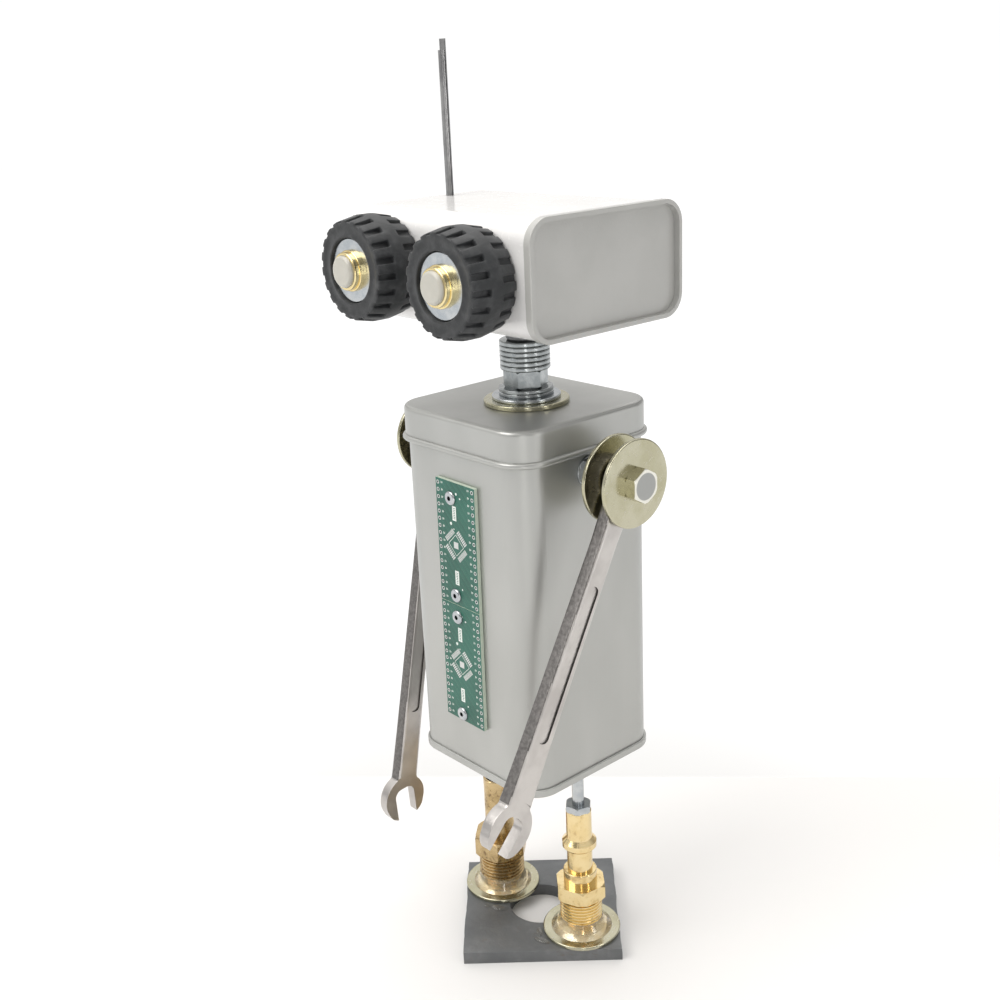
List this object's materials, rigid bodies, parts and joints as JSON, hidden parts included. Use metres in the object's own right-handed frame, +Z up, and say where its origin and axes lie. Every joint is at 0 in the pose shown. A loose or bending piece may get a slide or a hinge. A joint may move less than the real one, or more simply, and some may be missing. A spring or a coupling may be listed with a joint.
{
  "type": "found-object robot figure",
  "caption": "Standing robot figure built from tins, wrenches, brass pipe fittings, washers, circuit boards, toy wheels and a split-pin antenna, on a square steel plate.",
  "frame": {"origin": "centre of the hole in the base plate, on the face that stands on the ground", "axes": "+Z up, the robot faces -Y, +X is the robot's left"},
  "size_m": [0.1242, 0.1174, 0.3536],
  "materials": {
    "plate_steel": "blackened hot-rolled steel",
    "yellow_zinc": "yellow passivated zinc plating",
    "bright_zinc": "bright zinc plating",
    "epoxy": "clear set epoxy",
    "bright_brass": "turned bright brass",
    "aged_brass": "dull brass",
    "tinplate": "satin grey tinplate",
    "white_enamel": "white gloss enamel",
    "forged_chrome": "satin chrome on forged steel",
    "dull_lead": "dull cast grey metal",
    "pin_steel": "plain steel wire",
    "tyre_rubber": "moulded black rubber",
    "hub_plastic": "black moulded plastic",
    "button_pearl": "pearl white plastic",
    "solder_mask": "green solder mask"
  },
  "bodies": {
    "torso": {"base_plate": "plate_steel", "left_foot_washer": "yellow_zinc", "right_foot_washer": "yellow_zinc", "left_foot_epoxy": "epoxy", "right_foot_epoxy": "epoxy", "left_leg_fitting": "bright_brass", "left_leg_plug": "bright_brass", "left_leg_nut": "bright_zinc", "left_leg_rod": "bright_zinc", "right_leg_fitting": "aged_brass", "right_leg_tube": "aged_brass", "right_leg_rod": "bright_zinc", "leg_outer_nuts": "bright_zinc", "leg_inner_washers": "bright_zinc", "leg_inner_nuts": "bright_zinc", "body_tin": "tinplate", "body_floor": "tinplate", "upper_board": "solder_mask", "lower_board": "solder_mask", "board_eyelets": "bright_zinc", "shoulder_bolts": "yellow_zinc", "shoulder_outer_washers": "yellow_zinc", "shoulder_inner_washers": "yellow_zinc", "shoulder_lock_washers": "bright_zinc", "shoulder_inside_washers": "bright_zinc", "shoulder_spacer_nuts": "yellow_zinc", "shoulder_inside_nuts": "bright_zinc"},
    "lid": {"body_lid": "tinplate", "neck_stud": "bright_zinc", "neck_under_lid_washer": "bright_zinc", "neck_under_lid_nut": "bright_zinc", "neck_fender_washer": "yellow_zinc", "neck_wide_washer": "bright_zinc", "neck_lower_washers": "bright_zinc", "neck_nut": "bright_zinc", "neck_washer_stack": "bright_zinc", "neck_spacer": "dull_lead", "neck_in_head_washer": "bright_zinc", "neck_in_head_nut": "bright_zinc"},
    "head": {"head_shell": "white_enamel", "head_end_panel": "white_enamel", "antenna_pin": "pin_steel", "eye_inside_washers": "bright_zinc", "eye_inside_nuts": "bright_zinc", "left_eye_tyre": "tyre_rubber", "left_eye_hub": "hub_plastic", "left_eye_washer": "bright_zinc", "left_eye_bezel": "bright_brass", "right_eye_tyre": "tyre_rubber", "right_eye_hub": "hub_plastic", "right_eye_washer": "bright_zinc", "right_eye_bezel": "bright_brass"},
    "head_cap": {"head_cap": "white_enamel"},
    "left_arm": {"left_arm_wrench": "forged_chrome"},
    "right_arm": {"right_arm_wrench": "forged_chrome"},
    "left_button": {"left_eye_button": "button_pearl"},
    "right_button": {"right_eye_button": "button_pearl"}
  },
  "joints": [
    {"name": "lid_lift", "type": "slide", "parent": "torso", "child": "lid", "axis": [0, 0, 1], "range_m": [0, 0.045]},
    {"name": "head_turn", "type": "hinge", "parent": "lid", "child": "head", "pos_m": [0.0033, 0, 0.2574], "axis": [0, 0, 1], "range_deg": [-90, 90]},
    {"name": "left_arm_swing", "type": "hinge", "parent": "torso", "child": "left_arm", "pos_m": [0.05215, 0, 0.2054], "axis": [-1, 0, 0], "range_deg": [-149, 91]},
    {"name": "right_arm_swing", "type": "hinge", "parent": "torso", "child": "right_arm", "pos_m": [-0.05215, 0, 0.2026], "axis": [-1, 0, 0], "range_deg": [-131, 108]},
    {"name": "left_eye_press", "type": "slide", "parent": "head", "child": "left_button", "axis": [0, 1, 0], "range_m": [0, 0.0013], "stiffness_N_per_m": 400, "springref_m": -0.0015},
    {"name": "right_eye_press", "type": "slide", "parent": "head", "child": "right_button", "axis": [0, 1, 0], "range_m": [0, 0.0013], "stiffness_N_per_m": 400, "springref_m": -0.0015},
    {"name": "head_cap_pull", "type": "slide", "parent": "head", "child": "head_cap", "axis": [-1, 0, 0], "range_m": [0, 0.012]}
  ]
}
